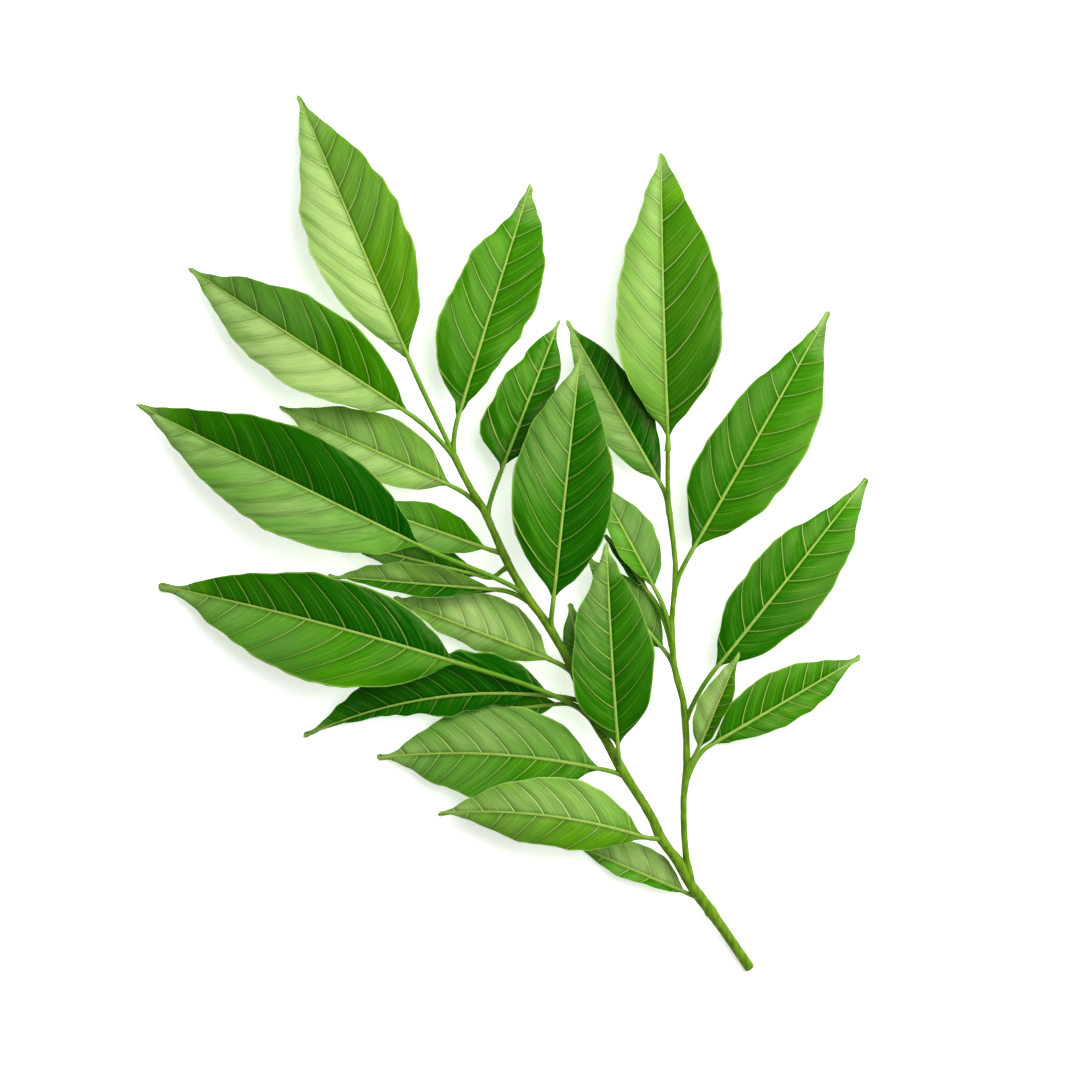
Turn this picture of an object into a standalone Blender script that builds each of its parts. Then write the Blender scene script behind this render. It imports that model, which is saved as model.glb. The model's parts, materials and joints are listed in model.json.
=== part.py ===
"""A cut sprig of curry leaves lying on a flat surface.

Metres, +Z up. The sprig rests on Z = 0, and the origin is below the middle of its outline.
Every piece grew as one: a main stem, a side stem that forks from it, and the leaflets,
each with its own short stalk (petiole) in one solid with its blade.
Places below are in millimetres, from a point near the middle of the lying sprig.
"""

import math
from collections import namedtuple

import bmesh
import bpy
from mathutils import Matrix, Vector

MM = 0.001
GAP = 0.3  # clear space between a piece and the stem that it grows from

# Stems: points along the axis from the thick end, each (x, y, z, diameter).
MAIN_STEM = [
    (37.6, -65.9, 0.82, 1.55),
    (31.7, -57.3, 2.5, 1.5),
    (28.3, -52.8, 3.5, 1.5),
    (27.2, -50.3, 4.0, 1.5),
    (24.1, -46.2, 4.7, 1.4),
    (22.4, -42.4, 5.3, 1.4),
    (18.1, -35.6, 6.2, 1.35),
    (15.5, -30.8, 6.9, 1.35),
    (13.3, -26.9, 7.3, 1.3),
    (10.9, -20.9, 7.8, 1.25),
    (7.3, -14.3, 8.2, 1.2),
    (3.6, -9.2, 8.3, 1.15),
    (0.5, -3.6, 8.2, 1.1),
    (-2.5, 3.2, 7.9, 1.05),
    (-5.0, 7.2, 7.6, 1.0),
    (-7.7, 12.9, 7.3, 0.95),
]
SIDE_STEM = [
    (27.6, -46.4, 4.4, 1.0),
    (27.4, -40.1, 4.9, 1.0),
    (27.9, -34.8, 5.3, 1.0),
    (27.4, -25.8, 6.0, 0.95),
    (26.0, -20.3, 6.3, 0.9),
    (25.6, -13.4, 6.6, 0.85),
    (26.2, -5.6, 6.7, 0.8),
    (25.1, 4.5, 6.9, 0.75),
    (25.0, 13.2, 7.2, 0.7),
]
FORK_AT = 19.4  # distance of the fork from the main stem's cut end
SCAR_AT = 10.6  # distance of an old leaf scar from the cut end
STEM_STEP = 3.0  # length of one facet of a stem
RING_SIDES = 8  # sides of a stem and of a petiole
PATH_SPANS = 8  # straight spans between two points of a stem's smooth path
END_CLEARANCE = 1.0  # least distance from a ring at a leaflet's joint to the stem's end
FORK_RUN = 0.8  # how far the side stem runs straight out of the fork
SWELLING = 0.16  # how much thicker a stem is where a leaflet grows, as a share of its radius
SWELLING_REACH = 1.3  # how far along the stem a swelling reaches

# Leaflets.
PETIOLE_DIAMETER = 0.62
PETIOLE_RINGS = 5
SWERVE = 0.55  # how much of a petiole's run along the stem is turned outwards where it leaves
PETIOLE_PULL = 0.38  # how far each end of a petiole runs straight, as a share of its length
TANGENT_STEP = 0.02  # share of a petiole's curve over which its direction is taken
BLADE_THICKNESS = 0.34
MIDRIB_THICKNESS = 0.6
TIP_WIDTH = 0.3  # half of the width of a blade's blunt end
MIDDLE_SHARE = 0.52  # where the fold line inside each half of a blade is, as a share of its width
CAMBER = 0.05  # how far each half of a blade bulges up there, as a share of its width
BLADE_STATIONS = [0.02, 0.08, 0.17, 0.28, 0.40, 0.53, 0.66, 0.78, 0.88, 0.95, 1.0]

# Colours in linear light: young leaflets are paler and older ones deeper.
STEM_GREEN = (0.20, 0.36, 0.06)
PALE = (0.16, 0.33, 0.03)
MID = (0.07, 0.23, 0.012)
DEEP = (0.02, 0.12, 0.004)
LEAF_ROUGHNESS = 0.4
STEM_ROUGHNESS = 0.5
SHARP_ANGLE = 50  # edges sharper than this many degrees stay sharp

# One half of a blade: its width from the midrib, how many degrees it rises to its edge, where along
# the blade it is widest, how full it is towards the base and how sharply it narrows to the tip.
Half = namedtuple("Half", "width slope widest full point", defaults=(0.44, 2.4, 1.35))

# One leaflet: at is where it grows, as a distance along its stem's axis (None is the stem's tip).
# base and tip are the ends of its blade, and left and right its halves as seen along it from above.
# bow moves the middle of its midrib to the left, arch lifts it, and twist turns the tip, in degrees.
Leaflet = namedtuple(
    "Leaflet", "at base tip left right colour bow arch twist", defaults=(0.0, 0.0, 0.0)
)

MAIN_LEAFLETS = [
    Leaflet(
        13.9, (27.6, -54.2, 2.7), (10.6, -47.0, 0.8),
        Half(1.6, 14), Half(4.1, -5), MID,
        arch=0.3,
    ),
    Leaflet(
        24.8, (21.0, -45.6, 6.6), (-9.4, -42.3, 4.8),
        Half(4.8, -4), Half(6.0, -8, widest=0.42), PALE,
        bow=-1.6, arch=2.8,
    ),
    Leaflet(
        36.2, (14.2, -35.4, 6.4), (-18.7, -34.1, 1.1),
        Half(7.2, 0), Half(7.5, -8), MID,
        bow=-1.4, arch=1.5,
    ),
    Leaflet(
        37.8, (17.5, -32.0, 8.8), (15.8, -1.6, 9.3),
        Half(6.2, 10, widest=0.42), Half(6.4, 10, widest=0.42), DEEP,
        bow=0.2, arch=1.6,
    ),
    Leaflet(
        45.2, (8.2, -25.9, 4.2), (-8.8, -27.6, 0.9),
        Half(2.2, 6), Half(2.4, 4), MID,
        arch=0.25,
    ),
    Leaflet(
        46.9, (-6.8, -19.5, 8.6), (-51.7, -8.1, 0.9),
        Half(8.8, 7), Half(7.3, 7, widest=0.42), MID,
        bow=-0.7, arch=3.0,
    ),
    Leaflet(
        45.6, (13.7, -24.6, 5.2), (10.1, -10.8, 3.4),
        Half(2.8, 6), Half(2.8, 6), DEEP,
        arch=0.2,
    ),
    Leaflet(
        48.8, (7.6, -24.6, 6.3), (-29.8, -30.8, 0.6),
        Half(2.3, 2, widest=0.4), Half(6.9, 15, widest=0.36), DEEP,
        bow=-2.6, arch=1.1, twist=10.0,
    ),
    Leaflet(
        53.2, (6.9, -19.0, 7.0), (-16.3, -10.1, 2.8),
        Half(2.6, -8, widest=0.38), Half(6.3, -12), PALE,
    ),
    Leaflet(
        60.7, (7.9, -9.6, 10.4), (11.8, 26.3, 8.4),
        Half(8.1, 12, widest=0.46), Half(7.4, 12), DEEP,
        arch=2.2,
    ),
    Leaflet(
        67.6, (-12.2, -2.0, 10.2), (-55.0, 19.2, 1.8),
        Half(8.1, 13, point=1.25), Half(8.2, 16), MID,
        arch=2.6,
    ),
    Leaflet(
        65.8, (-1.2, -8.6, 6.9), (-26.0, -6.7, 4.3),
        Half(2.4, 35), Half(3.4, 32), PALE,
        arch=0.4, twist=-30.0,
    ),
    Leaflet(
        74.4, (-2.4, -2.4, 7.4), (-22.0, 4.5, 2.8),
        Half(3.0, 4), Half(3.6, 4), MID,
        arch=0.2,
    ),
    Leaflet(
        72.4, (-3.0, -6.6, 5.6), (-24.0, -1.5, 1.4),
        Half(2.6, 4), Half(2.8, 8), DEEP,
        arch=-0.2,
    ),
    Leaflet(
        81.2, (-7.7, 7.0, 6.6), (-33.4, 18.8, 1.0),
        Half(4.2, 10), Half(5.6, 2), PALE,
        arch=1.0,
    ),
    Leaflet(
        80.4, (0.2, 9.6, 6.7), (8.8, 31.9, 2.8),
        Half(5.4, 6, widest=0.28, point=1.1), Half(3.8, 4), MID,
        arch=0.6,
    ),
    Leaflet(
        90.0, (-14.5, 18.2, 8.2), (-47.2, 39.8, 1.2),
        Half(6.5, 14, widest=0.48, point=1.25), Half(7.0, 16), MID,
        arch=2.6,
    ),
    Leaflet(
        None, (-14.0, 26.4, 7.8), (-30.7, 65.9, 0.5),
        Half(7.4, 14, widest=0.47, point=1.5), Half(7.7, 10, widest=0.47), PALE,
        arch=2.6,
    ),
    Leaflet(
        90.8, (-6.2, 17.9, 7.9), (4.4, 52.5, 1.0),
        Half(6.9, 8, widest=0.37, point=1.5), Half(6.5, 10, widest=0.56, full=1.6, point=1.2), MID,
        arch=2.6,
    ),
]
SIDE_LEAFLETS = [
    Leaflet(
        12.2, (32.0, -31.7, 4.6), (54.2, -18.8, 0.5),
        Half(4.9, 14), Half(3.4, 8, widest=0.52, full=2.0), MID,
        arch=1.0,
    ),
    Leaflet(
        14.0, (29.6, -32.4, 6.6), (35.6, -18.0, 9.6),
        Half(3.0, 12), Half(1.9, 20), PALE,
        arch=0.8,
    ),
    Leaflet(
        21.2, (32.4, -20.2, 7.0), (55.0, 8.0, 0.8),
        Half(5.6, 8, widest=0.4, point=1.5), Half(6.4, 8, widest=0.46, point=1.1), MID,
        arch=2.6,
    ),
    Leaflet(
        26.8, (24.2, -17.4, 4.6), (13.1, -3.6, 3.0),
        Half(3.4, 6), Half(3.4, 2), DEEP,
        arch=0.2,
    ),
    Leaflet(
        33.6, (23.0, -8.4, 6.4), (14.5, 7.5, 5.0),
        Half(2.4, 40), Half(4.1, 6, point=1.1), MID,
        arch=0.6,
    ),
    Leaflet(
        32.0, (22.0, -8.9, 5.1), (15.7, -0.4, 3.8),
        Half(1.1, 20), Half(1.1, 20), DEEP,
        arch=0.25,
    ),
    Leaflet(
        41.4, (28.9, -2.3, 7.6), (49.4, 33.2, 0.8),
        Half(6.5, 8, widest=0.34, point=1.45), Half(7.6, 10, widest=0.48), MID,
        arch=2.6,
    ),
    Leaflet(
        51.4, (23.7, 7.6, 5.5), (9.8, 31.8, 4.4),
        Half(4.4, 4), Half(4.5, 2), DEEP,
    ),
    Leaflet(
        None, (25.0, 14.6, 7.3), (24.1, 57.2, 0.5),
        Half(7.1, 15, widest=0.4, point=1.25), Half(9.0, 10, widest=0.42, point=1.25), PALE,
        bow=0.3, arch=3.4,
    ),
]

Z = Vector((0, 0, 1))


def catmull_rom(points, spans):
    """A smooth path of 4-number points through the given ones, with some straight spans between each pair."""
    padded = [2 * points[0] - points[1], *points, 2 * points[-1] - points[-2]]
    path = []
    for a, b, c, d in zip(padded, padded[1:], padded[2:], padded[3:]):
        for i in range(spans):
            t = i / spans
            path.append(
                0.5
                * (
                    2 * b
                    + t * (c - a)
                    + t * t * (2 * a - 5 * b + 4 * c - d)
                    + t * t * t * (3 * b - 3 * c + d - a)
                )
            )
    path.append(points[-1])
    return path


class Stem:
    """A stem's axis as a smooth path, with its places given by their distance from its thick end."""

    def __init__(self, points, nodes):
        self.path = catmull_rom([Vector(p) for p in points], PATH_SPANS)
        self.nodes = nodes
        self.reach = [0.0]
        for a, b in zip(self.path, self.path[1:]):
            self.reach.append(self.reach[-1] + (b - a).to_3d().length)
        self.length = self.reach[-1]

    def place(self, at):
        """Where the axis is, which way it runs, and the stem's radius there."""
        at = min(max(at, 0.0), self.length)
        i = max(k for k, r in enumerate(self.reach[:-1]) if r <= at)
        share = (at - self.reach[i]) / (self.reach[i + 1] - self.reach[i])
        here = self.path[i].lerp(self.path[i + 1], share)
        along = (self.path[i + 1] - self.path[i]).to_3d().normalized()
        swell = sum(math.exp(-(((at - n) / SWELLING_REACH) ** 2)) for n in self.nodes)
        return here.to_3d(), along, here.w / 2 * (1 + SWELLING * min(swell, 1.0))


def side_of(along):
    """The level direction to the left of a path, and the one that points up from it."""
    left = Z.cross(along).normalized()
    return left, along.cross(left)


def leave_stem(stem, at, goal, radius):
    """Where a piece of the given radius starts, GAP off the stem, and the way it sets out towards goal."""
    if at is None:
        here, along, _ = stem.place(stem.length)
        return here + along * GAP, along
    here, along, stem_radius = stem.place(at)
    out = (goal - here).normalized()
    out = (out - SWERVE * out.dot(along) * along).normalized()
    lean = abs(out.dot(along))
    off = (stem_radius + GAP + radius * lean) / math.sqrt(1 - lean * lean)
    return here + out * off, out


def bezier(a, b, c, d, t):
    s = 1 - t
    return s**3 * a + 3 * s * s * t * b + 3 * s * t * t * c + t**3 * d


def round_ring(centre, along, radius):
    """Points round the axis, from the left edge over the top to the right edge and back below."""
    left, up = side_of(along)
    turns = [math.pi * (1 - 2 * i / RING_SIDES) for i in range(RING_SIDES)]
    return [centre + radius * (math.sin(a) * up - math.cos(a) * left) for a in turns]


def loft(name, rings, colour, roughness):
    """One closed solid through rings of points, with a flat cap at each end."""
    mesh = bpy.data.meshes.new(name)
    bm = bmesh.new()
    loops = [[bm.verts.new(p * MM) for p in ring] for ring in rings]
    for a, b in zip(loops, loops[1:]):
        for i in range(len(a)):
            j = (i + 1) % len(a)
            bm.faces.new((a[i], a[j], b[j], b[i]))
    bm.faces.new(loops[0][::-1])
    bm.faces.new(loops[-1])
    bmesh.ops.triangulate(bm, faces=bm.faces)
    bmesh.ops.recalc_face_normals(bm, faces=bm.faces)
    bm.to_mesh(mesh)
    bm.free()
    mesh.shade_smooth()
    mesh.set_sharp_from_angle(angle=math.radians(SHARP_ANGLE))
    mesh.materials.append(principled(name, colour, roughness))
    piece = bpy.data.objects.new(name, mesh)
    bpy.context.scene.collection.objects.link(piece)
    return piece


def principled(name, colour, roughness):
    material = bpy.data.materials.new(name)
    material.use_nodes = True
    shader = material.node_tree.nodes["Principled BSDF"]
    shader.inputs["Base Color"].default_value = (*colour, 1)
    shader.inputs["Roughness"].default_value = roughness
    shader.inputs["Metallic"].default_value = 0.0
    return material


def make_stem(name, stem):
    """A stem as a tapering round tube, with a ring at each place where it swells."""
    low, high = END_CLEARANCE, stem.length - END_CLEARANCE
    edges = sorted({0.0, stem.length} | {n for n in stem.nodes if low < n < high})
    places = []
    for a, b in zip(edges, edges[1:]):
        count = max(1, round((b - a) / STEM_STEP))
        places += [a + (b - a) * i / count for i in range(count)]
    places.append(stem.length)
    rings = []
    for at in places:
        centre, along, radius = stem.place(at)
        rings.append(round_ring(centre, along, radius))
    return loft(name, rings, STEM_GREEN, STEM_ROUGHNESS)


def outline(half, u):
    """The width of half a blade at u along it: it swells to its widest and draws out to the tip."""
    if u < half.widest:
        return half.width * (1 - (1 - u / half.widest) ** half.full)
    t = (u - half.widest) / (1 - half.widest)
    return half.width * (1 - t) ** half.point * (1 + half.point * t)


def blade_ring(leaf, centre, along, u):
    """Eight points round a blade's cross section: a thin lens, thicker at the midrib."""
    left, up = side_of(along)
    turn = Matrix.Rotation(math.radians(-leaf.twist) * u * u, 3, along)
    left, up = turn @ left, turn @ up
    rib = up * (MIDRIB_THICKNESS * (1 - 0.5 * u) / 2)
    skin = up * (BLADE_THICKNESS / 2)
    halves = []
    for side, half in ((1, leaf.left), (-1, leaf.right)):
        tilt = math.radians(half.slope)
        reach = max(outline(half, u), TIP_WIDTH)
        out = side * math.cos(tilt) * left + math.sin(tilt) * up
        edge = centre + reach * out
        middle = centre + MIDDLE_SHARE * reach * out + CAMBER * reach * up
        halves.append((edge, middle))
    (l_edge, l_mid), (r_edge, r_mid) = halves
    return [
        l_edge,
        l_mid + skin,
        centre + rib,
        r_mid + skin,
        r_edge,
        r_mid - skin,
        centre - rib,
        l_mid - skin,
    ]


def make_leaflet(name, leaf, stem):
    """A petiole and its blade in one solid, from just off the stem to the blade's blunt tip."""
    base, tip = Vector(leaf.base), Vector(leaf.tip)
    left, up = side_of((tip - base).normalized())
    middle = (base + tip) / 2 + 2 * (leaf.bow * left + leaf.arch * Z)
    start = (middle - base).normalized()
    radius = PETIOLE_DIAMETER / 2
    foot, out = leave_stem(stem, leaf.at, base, radius)
    pull = (base - foot).length * PETIOLE_PULL
    rings = []
    for i in range(PETIOLE_RINGS):
        t = i / PETIOLE_RINGS
        points = (foot, foot + out * pull, base - start * pull, base)
        centre = bezier(*points, t)
        along = (bezier(*points, t + TANGENT_STEP) - centre).normalized() if i else out
        rings.append(round_ring(centre, along, radius))
    for u in BLADE_STATIONS:
        centre = (1 - u) ** 2 * base + 2 * u * (1 - u) * middle + u * u * tip
        along = ((1 - u) * (middle - base) + u * (tip - middle)).normalized()
        rings.append(blade_ring(leaf, centre, along, u))
    return loft(name, rings, leaf.colour, LEAF_ROUGHNESS)


def stand_on_origin(pieces):
    """Moves every mesh so that the sprig rests on Z = 0 with the origin below its middle."""
    points = [v.co for piece in pieces for v in piece.data.vertices]
    low = Vector([min(p[i] for p in points) for i in range(3)])
    high = Vector([max(p[i] for p in points) for i in range(3)])
    shift = -Vector(((low.x + high.x) / 2, (low.y + high.y) / 2, low.z))
    for piece in pieces:
        piece.data.transform(Matrix.Translation(shift))


def main():
    for old in list(bpy.data.objects):
        bpy.data.objects.remove(old)
    main_nodes = [leaf.at for leaf in MAIN_LEAFLETS if leaf.at is not None]
    main_stem = Stem(MAIN_STEM, [SCAR_AT, FORK_AT, *main_nodes])
    foot, out = leave_stem(main_stem, FORK_AT, Vector(SIDE_STEM[0][:3]), SIDE_STEM[0][3] / 2)
    start = [(*foot, SIDE_STEM[0][3]), (*(foot + out * FORK_RUN), SIDE_STEM[0][3])]
    side_nodes = [leaf.at for leaf in SIDE_LEAFLETS if leaf.at is not None]
    side_stem = Stem(start + SIDE_STEM, side_nodes)
    pieces = [make_stem("main_stem", main_stem), make_stem("side_stem", side_stem)]
    for stem, kind, leaflets in (
        (main_stem, "main", MAIN_LEAFLETS),
        (side_stem, "side", SIDE_LEAFLETS),
    ):
        for number, leaf in enumerate(leaflets, 1):
            pieces.append(make_leaflet(f"{kind}_leaflet_{number:02d}", leaf, stem))
    stand_on_origin(pieces)


main()
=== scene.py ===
# %% [markdown]
# # A cut sprig of curry leaves
#
# The sprig lies on a white table: a main stem, a side stem that forks from it, and twenty-eight
# leaflets on short stalks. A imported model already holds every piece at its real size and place,
# as plain lofted solids. This lesson keeps those places and gives each piece its living surface:
# folded blades with sunken veins and wavy margins, pale midribs, swollen joints on the stems.

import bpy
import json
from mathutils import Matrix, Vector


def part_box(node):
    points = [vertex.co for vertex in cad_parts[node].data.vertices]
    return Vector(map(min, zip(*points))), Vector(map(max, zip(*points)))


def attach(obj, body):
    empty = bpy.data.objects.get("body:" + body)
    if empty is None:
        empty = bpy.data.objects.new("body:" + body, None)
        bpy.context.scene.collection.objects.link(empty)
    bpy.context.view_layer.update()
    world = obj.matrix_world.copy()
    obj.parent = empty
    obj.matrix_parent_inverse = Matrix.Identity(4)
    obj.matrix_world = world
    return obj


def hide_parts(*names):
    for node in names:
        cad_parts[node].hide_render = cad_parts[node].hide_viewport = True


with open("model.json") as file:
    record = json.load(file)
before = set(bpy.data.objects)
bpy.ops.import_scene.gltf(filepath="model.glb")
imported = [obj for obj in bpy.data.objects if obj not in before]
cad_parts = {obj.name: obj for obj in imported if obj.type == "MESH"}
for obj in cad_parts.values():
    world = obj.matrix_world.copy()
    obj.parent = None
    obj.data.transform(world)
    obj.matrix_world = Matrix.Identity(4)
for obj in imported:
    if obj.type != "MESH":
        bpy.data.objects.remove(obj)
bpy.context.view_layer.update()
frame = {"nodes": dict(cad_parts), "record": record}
print("plain pieces to finish:", len(frame["nodes"]))

# %% [markdown]
# ## Small tools
#
# Nodes want linear colours, but people pick colours as sRGB hex values, so one function turns
# the second into the first. Another adds a node with its settings and its links in one call;
# a link is written by giving the node that feeds the input. The last tool draws a curve widget.

# %% Colours and nodes
import json
from collections import namedtuple

import bmesh
import bpy
import numpy as np
from mathutils import Vector

MM = 0.001


def linear(hex_colour):
    """The linear colour, with full alpha, of an sRGB hex colour."""
    shares = [int(hex_colour[i : i + 2], 16) / 255 for i in (1, 3, 5)]
    return [*(c / 12.92 if c < 0.04 else ((c + 0.055) / 1.055) ** 2.4 for c in shares), 1.0]


def add(tree, kind, inputs=(), **settings):
    """Adds a node. inputs holds values, nodes or sockets, in order or by the inputs' names."""
    node = tree.nodes.new(kind)
    for name, value in settings.items():
        setattr(node, name, value)
    for place, value in inputs.items() if isinstance(inputs, dict) else enumerate(inputs):
        if isinstance(value, bpy.types.Node):
            value = value.outputs[0]
        if isinstance(value, bpy.types.NodeSocket):
            tree.links.new(value, node.inputs[place])
        elif value is not None:
            node.inputs[place].default_value = value
    return node


def draw(node, points):
    """Draws a curve node's one curve through the given points, which run from 0 to 1 across."""
    curve = node.mapping.curves[0]
    while len(curve.points) < len(points):
        curve.points.new(0.5, 0.5)
    for point, place in zip(curve.points, points):
        point.location = place
    node.mapping.update()
    return node


# %% [markdown]
# ## Camera, light and table
#
# The camera looks straight down with a long lens, so the sprig keeps its true outline. Two soft
# square lights stand above and to the right, a low key and a wider panel that the blades mirror
# as a broad shine. Most blades are folded along the midrib like an open book, so one half of each
# faces the lights and the other half stays deep green. The sky lights the scene dimly, so shadows
# stay soft and faint, but the camera sees it nearly white. The table glows a little for the same
# white, and takes the shadows.

# %% Set the camera
# Lengths are in metres, apart from LENS and SENSOR, which are in mm.
VIEW_WIDTH = 0.162
LENS = 200
SENSOR = 36
CAMERA_OFFSET = Vector((0.0058, -0.00105))
MIDDLE_HEIGHT = 0.006

camera_data = bpy.data.cameras.new("camera above")
camera_data.lens = LENS
camera_data.sensor_width = SENSOR
camera = bpy.data.objects.new("camera above", camera_data)
camera.location = (*CAMERA_OFFSET, MIDDLE_HEIGHT + VIEW_WIDTH * LENS / SENSOR)
bpy.context.scene.collection.objects.link(camera)
bpy.context.scene.camera = camera
print("camera height, mm:", round(camera.location.z / MM))

# %% Light the table
KEY_PLACE = Vector((0.47, 0.38, 0.42))
KEY_SIDE = 0.36
KEY_WATTS = 2.6
PANEL_PLACE = Vector((0.25, 0.2, 0.6))
PANEL_SIDE = 0.5
PANEL_WATTS = 5.6
SKY = 0.14
SKY_SEEN = 0.93


def soft_light(name, place, side, watts):
    """A square studio light at a place, turned to the origin."""
    data = bpy.data.lights.new(name, "AREA")
    data.shape = "SQUARE"
    data.size = side
    data.energy = watts
    light = bpy.data.objects.new(name, data)
    light.location = place
    light.rotation_euler = (-place).to_track_quat("-Z", "Y").to_euler()
    light.visible_camera = False
    bpy.context.scene.collection.objects.link(light)


soft_light("key light", KEY_PLACE, KEY_SIDE, KEY_WATTS)
soft_light("shine panel", PANEL_PLACE, PANEL_SIDE, PANEL_WATTS)

world = bpy.data.worlds.new("pale studio")
world.use_nodes = True
world.node_tree.nodes.clear()
seen = add(world.node_tree, "ShaderNodeLightPath")
strength = add(
    world.node_tree, "ShaderNodeMix", {0: seen.outputs["Is Camera Ray"], 2: SKY, 3: SKY_SEEN}
)
sky = add(world.node_tree, "ShaderNodeBackground", {"Color": (1, 1, 1, 1), "Strength": strength})
add(world.node_tree, "ShaderNodeOutputWorld", [sky])
bpy.context.scene.world = world
bpy.context.scene.view_settings.view_transform = "Standard"
print("lights, W:", KEY_WATTS, PANEL_WATTS)

# %% Lay the table
TABLE_SIDE = 8.0
TABLE_DROP = 0.02 * MM
TABLE_GLOW = 0.56

table_mesh = bpy.data.meshes.new("white table")
far = TABLE_SIDE / 2
corners = [(x, y, -TABLE_DROP) for x, y in ((-far, -far), (far, -far), (far, far), (-far, far))]
table_mesh.from_pydata(corners, [], [(0, 1, 2, 3)])
table = bpy.data.objects.new("white table", table_mesh)
bpy.context.scene.collection.objects.link(table)

# A matt laminate: a plain white melamine face that scatters light evenly.
laminate = bpy.data.materials.new("white laminate")
laminate.use_nodes = True
laminate_face = laminate.node_tree.nodes["Principled BSDF"]
laminate_face.inputs["Base Color"].default_value = linear("#f7f7f7")
laminate_face.inputs["Roughness"].default_value = 0.9
laminate_face.inputs["Specular IOR Level"].default_value = 0.1
laminate_face.inputs["Emission Color"].default_value = linear("#ffffff")
laminate_face.inputs["Emission Strength"].default_value = TABLE_GLOW
table_mesh.materials.append(laminate)
print("table side, m:", TABLE_SIDE)

# %% [markdown]
# ## Reading a leaflet from its plain solid
#
# Each plain leaflet was lofted through rings of eight points: five round its stalk and eleven
# round its blade. The flat cap at an end lies in a plane that has the whole leaflet on one side,
# which finds one ring, and the mesh's edges lead from each ring to the next. A blade's ring,
# sorted from left to right, gives the two edges, the midrib and the fold inside each half. The
# plain blade starts bluntly, so one more place before it draws all five lines together, and the
# last is set to the width of a leaflet's drawn-out tip.

# %% Find the rings
RING = 8
STALK_RINGS = 5
BLADE_RINGS = 11
MERGE = 0.001 * MM
FLAT = 0.005 * MM
UP = np.array((0.0, 0.0, 1.0))
BASE_RUN = 1.3 * MM
BASE_HALF_WIDTH = 0.12 * MM
TIP_HALF_WIDTH = 0.42 * MM


def unit(vectors):
    return vectors / np.linalg.norm(vectors, axis=-1, keepdims=True)


def read_rings(node):
    """The rings of a leaflet's plain solid, from the foot of its stalk to its tip."""
    bm = bmesh.new()
    bm.from_mesh(node.data)
    bmesh.ops.remove_doubles(bm, verts=bm.verts, dist=MERGE)
    bm.verts.index_update()
    bm.normal_update()
    points = np.array([v.co for v in bm.verts])
    linked = [{edge.other_vert(v).index for edge in v.link_edges} for v in bm.verts]
    caps = []
    for face in bm.faces:
        height = (points - points[face.verts[0].index]) @ np.array(face.normal)
        if height.max() < FLAT and (abs(height) < FLAT).sum() == RING:
            caps.append(set(np.flatnonzero(abs(height) < FLAT)))
    bm.free()
    layer = caps[0]
    seen_points = set(layer)
    rings = []
    while layer:
        rings.append(points[sorted(layer)])
        layer = {n for v in layer for n in linked[v]} - seen_points
        seen_points |= layer
    if [len(r) for r in rings] != [RING] * (STALK_RINGS + BLADE_RINGS):
        raise ValueError(f"{node.name} isn't lofted through rings of eight: {[len(r) for r in rings]}")
    widths = [np.ptp(r, axis=0).max() for r in rings]
    return rings if widths[3] < widths[-4] else rings[::-1]


Sheet = namedtuple("Sheet", "stalk left_edge left_fold rib right_fold right_edge")


def read_sheet(node):
    """A leaflet's stalk and the five lines along its blade that its surface is drawn through."""
    rings = read_rings(node)
    middles = np.array([r.mean(axis=0) for r in rings])
    runs = unit(np.gradient(middles, axis=0))
    lines = []
    for ring, run in zip(rings[STALK_RINGS:], runs[STALK_RINGS:]):
        left = unit(np.cross(UP, run))
        order = ring[np.argsort(-(ring @ left))]
        pairs = [order[i : i + 2].mean(axis=0) for i in (1, 3, 5)]
        lines.append([order[0], *pairs, order[-1]])
    lines = np.array(lines)
    tip_spread = unit(lines[-1, 0] - lines[-1, 4]) * TIP_HALF_WIDTH
    lines[-1] = [lines[-1, 2] + tip_spread * share for share in (1, 0.5, 0, -0.5, -1)]
    base = lines[0, 2] - unit(lines[1, 2] - lines[0, 2]) * BASE_RUN
    spread = unit(lines[0, 0] - lines[0, 4]) * BASE_HALF_WIDTH
    start = [base + spread * share for share in (1, 0.5, 0, -0.5, -1)]
    return Sheet(middles[:STALK_RINGS], *np.concatenate([[start], lines]).transpose(1, 0, 2))


leaflets = {name: read_sheet(node) for name, node in frame["nodes"].items() if "leaflet" in name}
longest = max(np.linalg.norm(np.diff(s.rib, axis=0), axis=1).sum() for s in leaflets.values())
print("leaflets:", len(leaflets), "longest blade, mm:", round(longest / MM, 1))

# %% [markdown]
# ## Reading a stem's axis
#
# A stem's axis is found by slicing its plain solid across: the middle of a slice lies on the
# axis, and half of the slice's height is the radius there. Both stems run from their thick end
# towards +Y, so equal steps in Y give the slices in order. The slices stop short of both ends,
# where they would run off the solid, and the axis is drawn on from the last ones.

# %% Slice the stems
SLICE_STEP = 0.5 * MM
END_TRIM = 1.1 * MM
FOOT_REACH = 0.6 * END_TRIM
TOP_REACH = 0.4 * END_TRIM


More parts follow.
